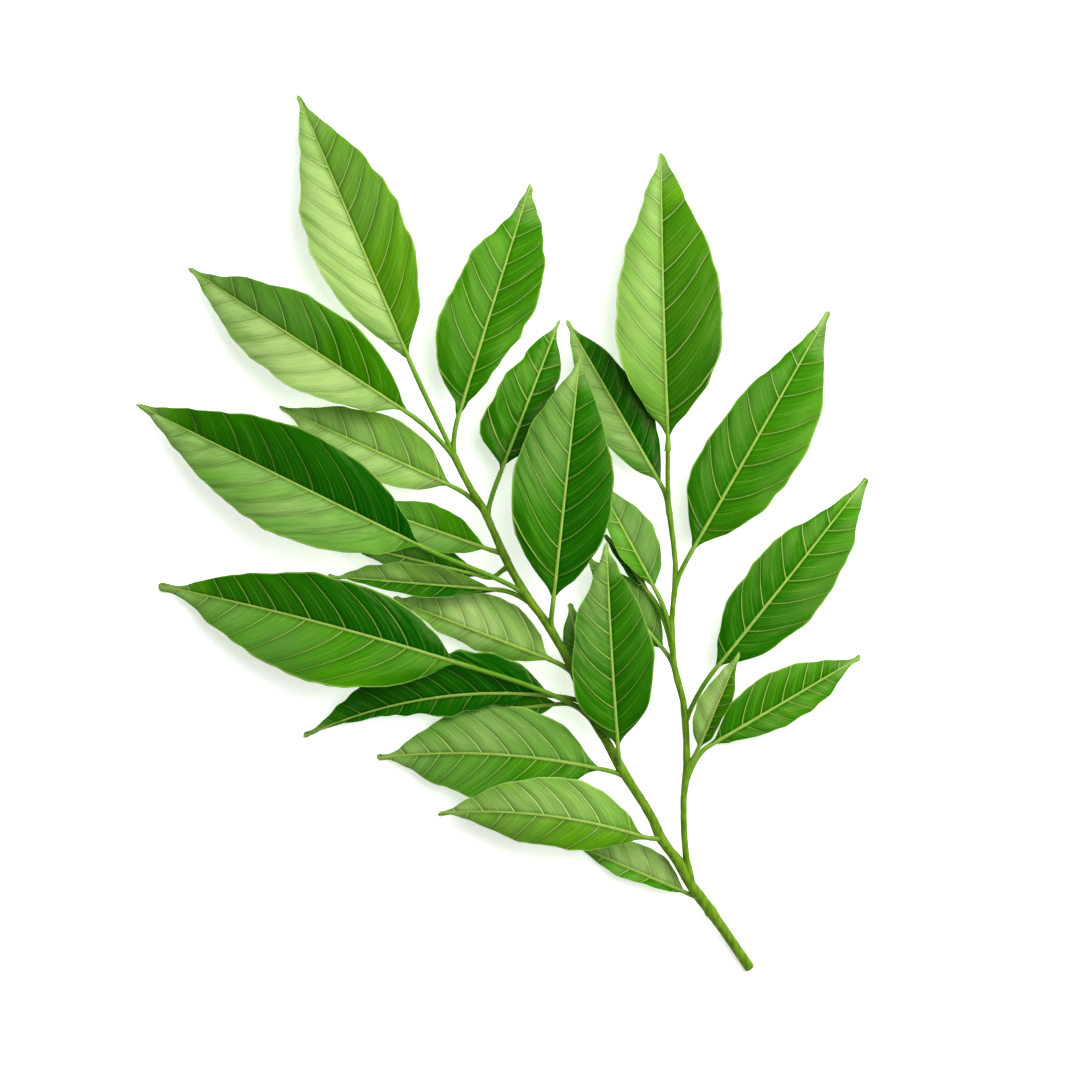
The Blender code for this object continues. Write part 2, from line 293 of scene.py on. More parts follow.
def stem_axis(node):
    """Points along a stem's axis from its thick end, and the radius at each, in metres."""
    bm = bmesh.new()
    bm.from_mesh(node.data)
    edges = np.array([[e.verts[0].co, e.verts[1].co] for e in bm.edges])
    bm.free()
    low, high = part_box(node.name)
    axis, radii = [], []
    for y in np.arange(low.y + END_TRIM, high.y - END_TRIM / 2, SLICE_STEP):
        a, b = edges[:, 0], edges[:, 1]
        cut = (a[:, 1] - y) * (b[:, 1] - y) < 0
        a, b = a[cut], b[cut]
        crossings = a + (b - a) * ((y - a[:, 1]) / (b[:, 1] - a[:, 1]))[:, None]
        axis.append((crossings.max(axis=0) + crossings.min(axis=0)) / 2)
        radii.append(np.ptp(crossings[:, 2]) / 2)
    first_run = axis[0] - axis[2]
    axis.insert(0, axis[0] + unit(first_run) * FOOT_REACH)
    last_run = axis[-1] - axis[-3]
    axis.append(axis[-1] + unit(last_run) * TOP_REACH)
    return np.array(axis), np.array([radii[0], *radii, radii[-1]])


axes = {name: stem_axis(frame["nodes"][name]) for name in ("main_stem", "side_stem")}
print("points on the axes:", [len(axis) for axis, _ in axes.values()])

# %% [markdown]
# ## How each leaflet grows
#
# No two leaflets are alike. A habit holds what a gardener would note of each one: how far apart
# its side veins are, how much they lean towards the tip on the left and on the right, how much
# the skin is quilted between them, how plain the veins are, and how much the margin waves. The
# tone of each half, judged one by one, is one of six levels of painted light, from a deep painted
# shade to a pale painted sheen. Nearly every leaflet differs from the usual habit in something,
# and the table names only where it does.

# %% Habits
Habit = namedtuple("Habit", "gap lean quilt marks ruffle scallop tone seed", defaults=(0,))
# The levels paint light on each half: below zero a painted shade, above zero a painted sheen.
DEEP, DARK, FULL, FRESH, PALE, PALEST = -0.8, -0.5, -0.2, 0.1, 0.4, 0.8
USUAL = Habit(
    gap=(4.8, 4.8),
    lean=(0.62, 0.62),
    quilt=(0.07, 0.07),
    marks=(0.8, 0.6),
    ruffle=0.45,
    scallop=0.36,
    tone=(FRESH, FRESH),
)
SPECIAL = {
    "main_leaflet_01": dict(gap=(3.8, 3.8), tone=(FRESH, PALEST)),
    "main_leaflet_02": dict(gap=(5.0, 4.6), marks=(0.6, 0.9), tone=(FRESH, PALE)),
    "main_leaflet_03": dict(gap=(3.9, 3.9), marks=(0.7, 0.9), tone=(FRESH, PALE)),
    "main_leaflet_04": dict(gap=(3.7, 4.1), marks=(1.0, 0.45), quilt=(0.12, 0.05), tone=(FRESH, FULL)),
    "main_leaflet_05": dict(quilt=(0.12, 0.12)),
    "main_leaflet_06": dict(gap=(5.2, 5.0), marks=(0.7, 0.6), tone=(FRESH, DEEP)),
    "main_leaflet_08": dict(marks=(0.4, 0.4), scallop=0.75, quilt=(0.12, 0.12), tone=(DEEP, DEEP)),
    "main_leaflet_09": dict(gap=(5.0, 3.9), marks=(0.45, 0.7), scallop=0.45, tone=(PALE, PALEST)),
    "main_leaflet_10": dict(lean=(0.75, 0.5), marks=(1.0, 0.5), quilt=(0.1, 0.05), tone=(FRESH, DARK)),
    "main_leaflet_11": dict(
        gap=(5.7, 7.0),
        lean=(0.8, 0.6),
        quilt=(0.24, 0.06),
        marks=(0.5, 0.35),
        tone=(PALE, DEEP),
    ),
    "main_leaflet_12": dict(marks=(0.3, 0.4), scallop=0.5, ruffle=0.7, tone=(DEEP, PALE)),
    "main_leaflet_13": dict(marks=(0.5, 0.3), quilt=(0.05, 0.05), tone=(PALE, FRESH)),
    "main_leaflet_15": dict(marks=(0.5, 0.7), tone=(PALEST, PALE)),
    "main_leaflet_16": dict(ruffle=0.7, scallop=0.6, quilt=(0.2, 0.1), tone=(DARK, DEEP)),
    "main_leaflet_17": dict(gap=(5.0, 5.0), lean=(0.6, 0.7), marks=(0.5, 0.7), tone=(PALEST, FRESH)),
    "main_leaflet_18": dict(lean=(0.95, 0.62), marks=(0.9, 0.6), scallop=0.42, tone=(PALEST, FRESH)),
    "main_leaflet_19": dict(gap=(5.2, 4.2), ruffle=0.7, scallop=0.55, marks=(0.95, 0.6), tone=(FULL, FULL)),
    "side_leaflet_01": dict(gap=(3.8, 3.8), marks=(0.9, 0.35), tone=(FULL, FULL)),
    "side_leaflet_02": dict(gap=(3.2, 3.2), marks=(0.35, 0.3), tone=(PALEST, DARK)),
    "side_leaflet_03": dict(gap=(5.2, 5.2), marks=(0.9, 0.55), quilt=(0.12, 0.06), tone=(DARK, DARK)),
    "side_leaflet_04": dict(tone=(FRESH, PALE)),
    "side_leaflet_05": dict(marks=(0.7, 0.6), tone=(FRESH, PALE)),
    "side_leaflet_06": dict(tone=(DEEP, PALEST)),
    "side_leaflet_07": dict(gap=(5.9, 5.9), lean=(0.6, 0.5), marks=(0.9, 0.55), tone=(DARK, FULL)),
    "side_leaflet_08": dict(gap=(3.8, 3.8), marks=(0.5, 0.3), tone=(PALE, DEEP)),
    "side_leaflet_09": dict(gap=(4.6, 7.0), marks=(0.7, 0.6), scallop=0.4, tone=(PALE, DARK)),
}
habits = {
    name: USUAL._replace(seed=number, **SPECIAL.get(name, {}))
    for number, name in enumerate(sorted(leaflets), 1)
}
print("special habits:", len(SPECIAL))

# %% [markdown]
# ## The blade as a sheet that follows its veins
#
# A blade could be a plain grid, but a vein is a quarter of a millimetre wide, and a grid fine
# enough for it everywhere would be huge. So the rows of this sheet run along the side veins
# instead of straight across: they lean to the tip as they near the margin, lie close together at
# each vein and near the base, and are wide apart between two veins. Each half is a sheet of its
# own, and its inner edge is buried in the midrib, so the fold there stays crisp and the veins of
# the two halves needn't meet.

# %% Smooth lines through points
def through(stations, values, at):
    """Values on a smooth curve through the given ones, at places measured like the stations."""
    slopes = np.gradient(values, stations, axis=0)
    i = np.clip(np.searchsorted(stations, at, side="right") - 1, 0, len(stations) - 2)
    gap = stations[i + 1] - stations[i]
    t = (at - stations[i]) / gap
    if values.ndim > 1:
        gap, t = gap[..., None], t[..., None]
    rise = t * t * (3 - 2 * t)
    return (
        values[i] * (1 - rise)
        + values[i + 1] * rise
        + gap * t * (1 - t) * ((1 - t) * slopes[i] - t * slopes[i + 1])
    )


def distances(line):
    """How far each point of a line is from its start, in mm."""
    return np.concatenate([[0], np.cumsum(np.linalg.norm(np.diff(line, axis=0), axis=1))]) / MM


def ease(t):
    """A smooth rise from 0 to 1 as t goes from 0 to 1."""
    t = np.clip(t, 0.0, 1.0)
    return t * t * (3 - 2 * t)


# %% Rows along the veins
# Lengths are in mm. BASE_EASE, TIP_EASE and NEAR_BASE are shares of the blade's length, FIRST_VEIN
# and GAP_SPREAD shares of the usual gap, and BETWEEN_VEINS shares of the gap at hand. The columns,
# TIP_NARROW and MIDDLE_SHARE, where the line inside a half lies, are shares of that half's width.
# VEIN_CURVE is how much more a vein leans with each mm outwards, and SETTLE how many times a row's
# course is worked out again until it holds still.
VEIN_CURVE = 0.085
BASE_EASE = 0.13
TIP_EASE = 0.08
NEAR_BASE = 0.2
BASE_STEP = 0.3
END_GAP = 0.2
FIRST_VEIN = -0.4
GAP_SPREAD = (0.82, 1.15)
BESIDE_VEIN = (0.0, 0.1, 0.22, 0.45)
BETWEEN_VEINS = (0.26, 0.38, 0.5)
CREASE_BACK = (0.05, 0.12, 0.25, 0.45)
CREASE_DEPTH = (0.0, 1.0, 1.0, 0.0)
INNER_COLUMNS = [0, 0.04, 0.1, 0.17, 0.25, 0.33, 0.41, 0.5, 0.58]
OUTER_COLUMNS = [0.66, 0.74, 0.82, 0.89, 0.94, 0.975, 0.993, 1]
ACROSS = np.array(INNER_COLUMNS + OUTER_COLUMNS)
MIDDLE_SHARE = 0.52
SETTLE = 14
TIP_ROUND = 0.35
TIP_NARROW = 0.25
BASE_CLOSE = 1.2
TIP_CLOSE = 1.0
SEED_SPREAD = 31.7


def vein_rows(length, gap, random):
    """Where rows start along the midrib, how far each is from its vein and from the finer vein
    between two, all in mm, and how deep the crease is there."""
    veins = [FIRST_VEIN * gap]
    while veins[-1] < length:
        veins.append(veins[-1] + gap * random.uniform(*GAP_SPREAD))
    veins = np.array(veins)
    starts = set()
    for low, span in zip(veins, np.diff(veins)):
        offsets = [*BESIDE_VEIN, *(f * span for f in BETWEEN_VEINS)]
        starts.update(low + o for o in offsets if o <= span / 2)
        starts.update(low + span - o for o in offsets if 0 < o < span / 2)
    more = np.arange(0, NEAR_BASE * length, BASE_STEP)
    clear = abs(more[:, None] - np.array([*starts, *veins])).min(axis=1) > BASE_STEP / 3
    starts.update(more[clear & (abs(more[:, None] - veins).min(axis=1) > BESIDE_VEIN[-1])])
    starts = np.array([0.0, *sorted(s for s in starts if END_GAP < s < length - END_GAP), length])
    low = np.clip(np.searchsorted(veins, starts, side="right") - 1, 0, len(veins) - 2)
    offset = starts - veins[low]
    back = veins[low + 1] - starts
    crease = np.interp(back, CREASE_BACK, CREASE_DEPTH)
    crease[[0, -1]] = 0.0
    return starts, np.minimum(offset, back), abs(offset - back) / 2, crease


def half_sheet(stations, rib, fold, edge, habit, side, random):
    """One half of a blade as a grid of rows from midrib to margin, with what its surface needs."""
    length = stations[-1]
    reach = np.linalg.norm(edge - rib, axis=1) / MM
    half = 0 if side > 0 else 1
    starts, beside, fine, crease = vein_rows(length, habit.gap[half], random)
    lean = habit.lean[half]
    loose = ease(starts / (BASE_EASE * length)) * ease((length - starts) / (TIP_EASE * length))
    start, share = np.meshgrid(starts, ACROSS, indexing="ij")
    along = start
    for _ in range(SETTLE):
        across = share * through(stations, reach, along)
        along = np.clip(start + loose[:, None] * (lean + VEIN_CURVE * across) * across, 0, length)
    close = np.sqrt(1 - np.clip(1 - (length - along) / TIP_ROUND, 0, 1) ** 2)
    share_here = share * (TIP_NARROW + (1 - TIP_NARROW) * close)
    weights = (
        (share_here - MIDDLE_SHARE) * (share_here - 1) / MIDDLE_SHARE,
        share_here * (1 - share_here) / (MIDDLE_SHARE * (1 - MIDDLE_SHARE)),
        share_here * (share_here - MIDDLE_SHARE) / (1 - MIDDLE_SHARE),
    )
    lines = [through(stations, line, along) for line in (rib, fold, edge)]
    place = sum(w[..., None] * line for w, line in zip(weights, lines))
    outward = unit(lines[2] - lines[0])
    across = share * through(stations, reach, along)
    ends = np.minimum(ease(along / BASE_CLOSE), ease((length - along) / TIP_CLOSE))
    body = np.clip(1 - share**4, 0, 1) ** 0.7 * ends
    body[:, 0] = 0
    return dict(
        place=place,
        outward=outward,
        leaf=np.stack([start, side * across, np.full_like(start, SEED_SPREAD * habit.seed)], axis=-1),
        share=share,
        along=along,
        veins=np.repeat(np.stack([beside, fine, crease], axis=-1)[:, None], len(ACROSS), axis=1),
        look=np.stack(
            [np.full_like(start, habit.tone[half]), np.full_like(start, habit.marks[half]), along / length],
            axis=-1,
        ),
        body=body,
    )


# %% [markdown]
# ## The stalk and midrib as one path
#
# A leaflet's stalk runs on along the blade as its midrib, thinning all the way to the tip. It is
# one path with a thickness at each point, starting a little inside the stem so that the joint
# is closed, with a small swelling (the pulvinus) where it leaves.

# %% Path of a stalk and midrib
# Lengths are in mm. STEM_SWAY is how much the stem's direction turns a stalk where it leaves, and
# STALK_PULL how far the curve keeps the direction of each end, as a share of the way between them.
# RIB_TAPER is how late the midrib thins, and SUNK how deep it sits, as a share of its radius.
STALK_RADIUS = 0.37
JOINT_SWELLING = 0.16
JOINT_REACH = 1.1
RIB_RADIUS = (0.34, 0.15)
RIB_TAPER = 0.8
RIB_BLEND = 2.5
SUNK = 0.05
BACK_STEPS = 2
STEM_SWAY = 0.25
STALK_PULL = 0.36
STALK_POINTS = 8
RIB_STEP = 0.35


def leave_stem(foot, stems=tuple(axes)):
    """Where a shoot with this foot starts on the nearest stem's axis, and the way the stem runs."""
    lines = (axes[stem][0] for stem in stems)
    axis = min(lines, key=lambda line: np.linalg.norm(line - foot, axis=1).min())
    i = max(np.linalg.norm(axis - foot, axis=1).argmin() - BACK_STEPS, 0)
    return axis[i], unit(axis[i + 1] - axis[i])


def rib_path(sheet):
    """Points along the stalk and midrib, their radius, and their distance from the blade's base in mm."""
    start, run = leave_stem(sheet.stalk[0])
    goal = sheet.rib[0]
    pull = np.linalg.norm(goal - start) * STALK_PULL
    knots = (
        start,
        start + unit(STEM_SWAY * run + unit(goal - start)) * pull,
        goal - unit(sheet.rib[1] - goal) * pull,
        goal,
    )
    t = np.linspace(0, 1, STALK_POINTS)[:-1, None]
    stalk = (1 - t) ** 3 * knots[0] + 3 * t * (1 - t) ** 2 * knots[1]
    stalk = stalk + 3 * t * t * (1 - t) * knots[2] + t**3 * knots[3]
    line = np.vstack([stalk, sheet.rib])
    stations = distances(line)
    base = stations[len(stalk)]
    at = np.linspace(0, stations[-1], round(stations[-1] / RIB_STEP) + 1)
    along = at - base
    blade_share = np.clip(along / (stations[-1] - base), 0, 1)
    on_blade = ease((along + 1) / RIB_BLEND)
    rib = RIB_RADIUS[0] + (RIB_RADIUS[1] - RIB_RADIUS[0]) * blade_share**RIB_TAPER
    radius = STALK_RADIUS * (1 - on_blade) + rib * on_blade
    radius = radius + JOINT_SWELLING * np.exp(-((at / JOINT_REACH) ** 2))
    points = through(stations, line, at)
    points[:, 2] -= on_blade * radius * SUNK * MM
    return points, radius * MM, along


# %% Sheets and path as one mesh
Field = namedtuple("Field", "kind size")
FIELDS = {
    "outward": Field("FLOAT_VECTOR", 3),
    "leaf": Field("FLOAT_VECTOR", 3),
    "share": Field("FLOAT", 1),
    "along": Field("FLOAT", 1),
    "veins": Field("FLOAT_VECTOR", 3),
    "look": Field("FLOAT_VECTOR", 3),
    "body": Field("FLOAT", 1),
    "girth": Field("FLOAT", 1),
}


def leaf_mesh(name, sheet, habit):
    """A leaflet's two half sheets and its stalk's path, with the attributes that the tree reads."""
    random = np.random.default_rng(habit.seed)
    stations = distances(sheet.rib)
    halves = (
        half_sheet(stations, sheet.rib, sheet.left_fold, sheet.left_edge, habit, 1, random),
        half_sheet(stations, sheet.rib, sheet.right_fold, sheet.right_edge, habit, -1, random),
    )
    points, faces, fields = [], [], {field: [] for field in FIELDS}
    for side, half in zip((1, -1), halves):
        first = sum(len(p) for p in points)
        rows, columns = half["share"].shape
        points.append(half["place"].reshape(-1, 3))
        for field in FIELDS:
            if field in half:
                fields[field].append(half[field].reshape(-1, FIELDS[field].size))
        fields["girth"].append(np.zeros((rows * columns, 1)))
        index = first + np.arange(rows * columns).reshape(rows, columns)
        quads = np.stack([index[:-1, :-1], index[:-1, 1:], index[1:, 1:], index[1:, :-1]], axis=-1)
        faces += (quads[..., ::-side]).reshape(-1, 4).tolist()
    line, radius, along = rib_path(sheet)
    first = sum(len(p) for p in points)
    points.append(line)
    count = len(line)
    for field in FIELDS:
        fill = np.zeros((count, FIELDS[field].size))
        if field in ("along", "girth"):
            fill[:, 0] = along if field == "along" else radius
        if field == "leaf":
            fill[:, 0], fill[:, 2] = along, SEED_SPREAD * habit.seed
        fields[field].append(fill)
    edges = [(first + i, first + i + 1) for i in range(count - 1)]
    mesh = bpy.data.meshes.new(name)
    mesh.from_pydata(np.vstack(points).tolist(), edges, faces)
    for field, (kind, _) in FIELDS.items():
        data = mesh.attributes.new(field, kind, "POINT").data
        key = "vector" if kind == "FLOAT_VECTOR" else "value"
        data.foreach_set(key, np.vstack(fields[field]).ravel().astype(np.float32))
    return mesh


# %% [markdown]
# ## The tree that makes a leaflet
#
# Geometry Nodes turn the sheet into a living blade. First the skin swells between the veins and
# the margin waves up and down and in and out. Then the sheet is copied: one copy goes up and one
# down by its share of the leaf's thickness, which fades to nothing at the margin, so the two meet
# there and the blade is closed. The stalk's path becomes a tube. Every size is a named input.

# %% Build the leaflet tree
# Sizes are in mm. TOP_SHARE is the upper skin's share of a blade's thickness, WAVE_SIDES keeps the
# two margins of a blade from waving alike, and NOISE_SWING widens what a noise adds or takes away.
LEAF_INPUTS = {
    "Thickness": 0.22,
    "Left Quilting": 0.07,
    "Right Quilting": 0.07,
    "Vein Height": 0.05,
    "Crease Depth": -0.06,
    "Ruffle": 0.35,
    "Ruffle Length": 9.0,
    "Scallop": 0.22,
    "Scallop Length": 4.2,
    "Seed": 0.0,
}
TOP_SHARE = 0.15
WAVE_SIDES = 40.0
NOISE_SWING = 4.0
RIB_SIDES = 12


def new_tree(name, sizes, materials):
    """A Geometry Nodes tree with a mesh in and out, and an input for each size and material."""
    tree = bpy.data.node_groups.new(name, "GeometryNodeTree")
    tree.interface.new_socket("Geometry", in_out="INPUT", socket_type="NodeSocketGeometry")
    for size, value in sizes.items():
        socket = tree.interface.new_socket(size, in_out="INPUT", socket_type="NodeSocketFloat")
        socket.default_value = value
    for material in materials:
        tree.interface.new_socket(material, in_out="INPUT", socket_type="NodeSocketMaterial")
    tree.interface.new_socket("Geometry", in_out="OUTPUT", socket_type="NodeSocketGeometry")
    return tree


def leaflet_tree():
    tree = new_tree("leaflet tree", LEAF_INPUTS, ("Blade", "Midrib"))
    given = add(tree, "NodeGroupInput").outputs
    field = {
        name: add(
            tree, "GeometryNodeInputNamedAttribute", {"Name": name}, data_type=FIELDS[name].kind
        )
        for name in FIELDS
    }
    normal = add(tree, "GeometryNodeInputNormal")
    leaf = add(tree, "ShaderNodeSeparateXYZ", [field["leaf"]])
    is_left = add(tree, "ShaderNodeMath", [leaf.outputs[1], 0.0], operation="GREATER_THAN")

    # Quilting: the skin rises steeply from a vein and is nearly level halfway to the next.
    veins = add(tree, "ShaderNodeSeparateXYZ", [field["veins"]])
    look = add(tree, "ShaderNodeSeparateXYZ", [field["look"]])
    reach = add(tree, "ShaderNodeMath", [veins.outputs[0], 2.0], operation="DIVIDE", use_clamp=True)
    swell = draw(
        add(tree, "ShaderNodeFloatCurve", {"Value": reach}),
        [(0.0, 0.0), (0.1, 0.1), (0.3, 0.55), (0.6, 0.9), (1.0, 1.0)],
    )
    fade = draw(
        add(tree, "ShaderNodeFloatCurve", {"Value": field["share"]}),
        [(0.0, 0.0), (0.12, 0.55), (0.35, 1.0), (0.8, 0.9), (1.0, 0.35)],
    )
    quilting = add(
        tree, "ShaderNodeMix", {0: is_left, 2: given["Right Quilting"], 3: given["Left Quilting"]}
    )
    pucker_place = add(
        tree, "ShaderNodeVectorMath", [field["leaf"], (0.55, 0.3, 1.0)], operation="MULTIPLY"
    )
    pucker = add(tree, "ShaderNodeTexNoise", {"Vector": pucker_place, "Scale": 1.0, "Detail": 1.0})
    pucker = add(tree, "ShaderNodeMapRange", [pucker, 0.25, 0.75, -1.4, 1.4])
    pillow = add(tree, "ShaderNodeMath", [swell, pucker], operation="ADD")
    pillow = add(tree, "ShaderNodeMath", [pillow, fade], operation="MULTIPLY")
    pillow = add(tree, "ShaderNodeMath", [pillow, quilting], operation="MULTIPLY")

    # A side vein is a thin ridge with a crease on the side towards the stalk. Both die out at the rim.
    ridge = add(tree, "ShaderNodeMapRange", [veins.outputs[0], 0.0, 0.12, given["Vein Height"], 0.0])
    crease = veins.outputs[2]
    ridge = add(
        tree, "ShaderNodeMath", [crease, given["Crease Depth"], ridge], operation="MULTIPLY_ADD"
    )
    vein_fade = draw(
        add(tree, "ShaderNodeFloatCurve", {"Value": field["share"]}),
        [(0.0, 1.0), (0.5, 0.9), (0.85, 0.4), (1.0, 0.0)],
    )
    ridge = add(tree, "ShaderNodeMath", [ridge, vein_fade], operation="MULTIPLY")
    ridge = add(tree, "ShaderNodeMath", [ridge, look.outputs[1]], operation="MULTIPLY")
    pillow = add(tree, "ShaderNodeMath", [pillow, ridge], operation="ADD")

    # The margin waves up and down: noise along each side, growing towards the edge.
    side_place = add(tree, "ShaderNodeMath", [is_left, WAVE_SIDES], operation="MULTIPLY")
    wave_place = add(tree, "ShaderNodeCombineXYZ", [field["along"], side_place, given["Seed"]])
    ruffle_place = add(
        tree, "ShaderNodeVectorMath", [wave_place, given["Ruffle Length"]], operation="DIVIDE"
    )
    ruffle_noise = add(tree, "ShaderNodeTexNoise", {"Vector": ruffle_place, "Scale": 1.0, "Detail": 0.0})
    ruffle = add(tree, "ShaderNodeMath", [ruffle_noise, 0.5], operation="SUBTRACT")
    edge_rise = add(tree, "ShaderNodeMath", [field["share"], 2.0], operation="POWER")
    ruffle = add(tree, "ShaderNodeMath", [ruffle, edge_rise], operation="MULTIPLY")
    ruffle = add(tree, "ShaderNodeMath", [ruffle, given["Ruffle"]], operation="MULTIPLY")
    height = add(tree, "ShaderNodeMath", [ruffle, NOISE_SWING, pillow], operation="MULTIPLY_ADD")
    height = add(tree, "ShaderNodeMath", [height, MM], operation="MULTIPLY")
    rise = add(tree, "ShaderNodeVectorMath", {0: normal, "Scale": height}, operation="SCALE")

    # It also waves in and out, with a shorter step, at the very edge only.
    scallop_place = add(
        tree, "ShaderNodeVectorMath", [wave_place, given["Scallop Length"]], operation="DIVIDE"
    )
    scallop_noise = add(tree, "ShaderNodeTexNoise", {"Vector": scallop_place, "Scale": 1.0, "Detail": 1.0})
    scallop = add(tree, "ShaderNodeMath", [scallop_noise, 0.5], operation="SUBTRACT")
    edge_only = add(tree, "ShaderNodeMath", [field["share"], 4.0], operation="POWER")
    scallop = add(tree, "ShaderNodeMath", [scallop, edge_only], operation="MULTIPLY")
    scallop = add(tree, "ShaderNodeMath", [scallop, given["Scallop"]], operation="MULTIPLY")
    scallop = add(tree, "ShaderNodeMath", [scallop, NOISE_SWING * MM], operation="MULTIPLY")
    spread = add(
        tree, "ShaderNodeVectorMath", {0: field["outward"], "Scale": scallop}, operation="SCALE"
    )
    shift = add(tree, "ShaderNodeVectorMath", [rise, spread], operation="ADD")

    # The stalk's path is the part of the mesh with a girth.
    has_girth = add(tree, "ShaderNodeMath", [field["girth"], 0.0], operation="GREATER_THAN")
    parts = add(
        tree, "GeometryNodeSeparateGeometry", [given["Geometry"], has_girth], domain="POINT"
    )
    sheet = add(
        tree, "GeometryNodeSetPosition", {"Geometry": parts.outputs["Inverted"], "Offset": shift}
    )

    # Two skins that meet at the margin. The upper one stays nearly level and the lower one curls up to it.
    depth = add(tree, "ShaderNodeMath", [field["body"], given["Thickness"]], operation="MULTIPLY")
    depth = add(tree, "ShaderNodeVectorMath", {0: normal, "Scale": depth}, operation="SCALE")
    above = add(tree, "ShaderNodeVectorMath", {0: depth, "Scale": TOP_SHARE * MM}, operation="SCALE")
    below = add(tree, "ShaderNodeVectorMath", {0: depth, "Scale": (TOP_SHARE - 1) * MM}, operation="SCALE")
    top = add(tree, "GeometryNodeSetPosition", {"Geometry": sheet, "Offset": above})
    under = add(tree, "GeometryNodeSetPosition", {"Geometry": sheet, "Offset": below})
    under = add(tree, "GeometryNodeFlipFaces", [under])
    under = add(
        tree,
        "GeometryNodeStoreNamedAttribute",
        {"Geometry": under, "Name": "underside", "Value": 1.0},
        data_type="FLOAT",
        domain="POINT",
    )
    blade = add(tree, "GeometryNodeJoinGeometry", [top])
    tree.links.new(under.outputs[0], blade.inputs[0])
    blade = add(tree, "GeometryNodeMergeByDistance", {"Geometry": blade, "Distance": MERGE})

    # The stalk and midrib: a round tube as thick as the path's girth.
    path = add(tree, "GeometryNodeMeshToCurve", {"Mesh": parts.outputs["Selection"]})
    round_section = add(
        tree, "GeometryNodeCurvePrimitiveCircle", {"Resolution": RIB_SIDES, "Radius": 1.0}
    )
    tube = add(
        tree,
        "GeometryNodeCurveToMesh",
        {"Curve": path, "Profile Curve": round_section, "Scale": field["girth"], "Fill Caps": True},
    )
    whole = add(tree, "GeometryNodeJoinGeometry", [tube])
    tree.links.new(blade.outputs[0], whole.inputs[0])
    smooth = add(tree, "GeometryNodeSetShadeSmooth", {"Geometry": whole})
    real = add(tree, "GeometryNodeRealizeInstances", [smooth])
    dressed = add(tree, "GeometryNodeSetMaterial", {"Geometry": real, "Material": given["Blade"]})
    dressed = add(
        tree,
        "GeometryNodeSetMaterial",
        {"Geometry": dressed, "Selection": has_girth, "Material": given["Midrib"]},
    )
    add(tree, "NodeGroupOutput", [dressed])
    return tree


leaf_tree = leaflet_tree()
print("nodes in the leaflet tree:", len(leaf_tree.nodes))

# %% [markdown]
# ## Leaf skin
#
# A curry leaflet's upper skin is a thin waxy cuticle over deep green cells: satin, not mirror
# smooth, with pale side veins pressed into it and a fine net of smaller ones between them. The
# margin is a paler rim, and the underside is lighter and duller. The pattern reads the
# leaf's own attributes, so it follows the veins wherever the blade bends. A tone above zero mixes
# in a pale painted sheen and a tone below zero a deep painted shade. More painted shade lies in
# each vein's crease, beside the veins and along both sides of the midrib.

# %% Leaf blade material
Skin = namedtuple("Skin", "deep fresh vein")
SKINS = {
    "deep_green_leaf": Skin("#1d5c01", "#2c7003", "#8db548"),
    "mid_green_leaf": Skin("#2e7201", "#418402", "#9abf55"),
    "pale_green_leaf": Skin("#437e05", "#589011", "#b2cf72"),
}
# Painted light: a pale green for painted sheen and a deep green for painted shade, mixed in by a half's
# tone.
SHEEN_GREEN = "#92b064"
SHADE_GREEN = "#055200"
UNDERSIDE = "#8fb765"
UNDER_SHARE = 0.45
# The tone is lowered to painted shade at a blade's base, raised towards its tip, and set near the tip
# itself.
BASE_TONE = -0.32
TIP_TONE = 0.3
TIP_PALENESS = 0.62
CLOUD_SIZE = 6.0
FIBRE_SIZE = 0.24
FIBRE_STRETCH = (1.0, 0.12, 1.0)
NET_SIZE = 0.9
HAIR_HALF_GAP = 0.48


def shine_like_wax(shader, level):
    """The soft warm shine of plant wax, which reflects less than glass does."""
    shader.inputs["Specular IOR Level"].default_value = level
    shader.inputs["Specular Tint"].default_value = linear("#e8f294")
    shader.inputs["IOR"].default_value = 1.45


